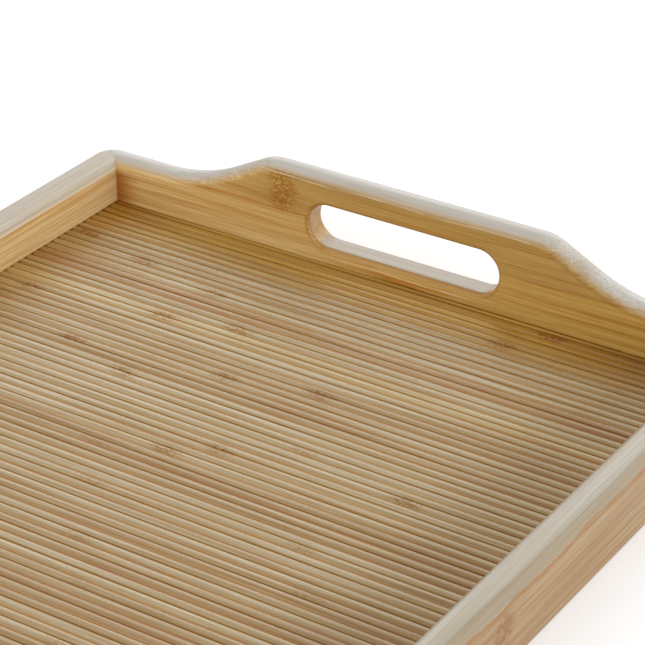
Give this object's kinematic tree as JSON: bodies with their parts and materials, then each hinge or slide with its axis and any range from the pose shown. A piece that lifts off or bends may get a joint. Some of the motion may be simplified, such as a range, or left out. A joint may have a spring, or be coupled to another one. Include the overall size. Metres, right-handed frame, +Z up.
{
  "type": "serving tray",
  "caption": "Rectangular bamboo serving tray with mitred walls, raised handle walls with finger slots, and a ribbed floor of edge-glued strips.",
  "frame": {"origin": "middle of the face that the tray rests on", "axes": "+X along the handle walls, +Y along the side walls towards the back handle wall, +Z up"},
  "size_m": [0.356, 0.499, 0.0568],
  "materials": {
    "wall_bamboo": "clear semi-gloss lacquer on laminated bamboo",
    "floor_bamboo": "clear semi-gloss lacquer on reeded bamboo strips",
    "spline_bamboo": "bare bamboo, glued"
  },
  "bodies": {
    "root": {"left_side_wall": "wall_bamboo", "right_side_wall": "wall_bamboo", "back_handle_wall": "wall_bamboo", "front_handle_wall": "wall_bamboo", "corner_spline_front_left": "spline_bamboo", "corner_spline_front_right": "spline_bamboo", "corner_spline_back_left": "spline_bamboo", "corner_spline_back_right": "spline_bamboo", "floor_strip_01": "floor_bamboo", "floor_strip_02": "floor_bamboo", "floor_strip_03": "floor_bamboo", "floor_strip_04": "floor_bamboo", "floor_strip_05": "floor_bamboo", "floor_strip_06": "floor_bamboo", "floor_strip_07": "floor_bamboo", "floor_strip_08": "floor_bamboo", "floor_strip_09": "floor_bamboo", "floor_strip_10": "floor_bamboo", "floor_strip_11": "floor_bamboo", "floor_strip_12": "floor_bamboo", "floor_strip_13": "floor_bamboo", "floor_strip_14": "floor_bamboo", "floor_strip_15": "floor_bamboo", "floor_strip_16": "floor_bamboo", "floor_strip_17": "floor_bamboo", "floor_strip_18": "floor_bamboo", "floor_strip_19": "floor_bamboo", "floor_strip_20": "floor_bamboo", "floor_strip_21": "floor_bamboo", "floor_strip_22": "floor_bamboo", "floor_strip_23": "floor_bamboo", "floor_strip_24": "floor_bamboo", "floor_strip_25": "floor_bamboo", "floor_strip_26": "floor_bamboo", "floor_strip_27": "floor_bamboo", "floor_strip_28": "floor_bamboo", "floor_strip_29": "floor_bamboo", "floor_strip_30": "floor_bamboo", "floor_strip_31": "floor_bamboo", "floor_strip_32": "floor_bamboo", "floor_strip_33": "floor_bamboo", "floor_strip_34": "floor_bamboo", "floor_strip_35": "floor_bamboo", "floor_strip_36": "floor_bamboo", "floor_strip_37": "floor_bamboo", "floor_strip_38": "floor_bamboo", "floor_strip_39": "floor_bamboo", "floor_strip_40": "floor_bamboo", "floor_strip_41": "floor_bamboo", "floor_strip_42": "floor_bamboo", "floor_strip_43": "floor_bamboo", "floor_strip_44": "floor_bamboo", "floor_strip_45": "floor_bamboo", "floor_strip_46": "floor_bamboo", "floor_strip_47": "floor_bamboo", "floor_strip_48": "floor_bamboo"}
  },
  "joints": []
}
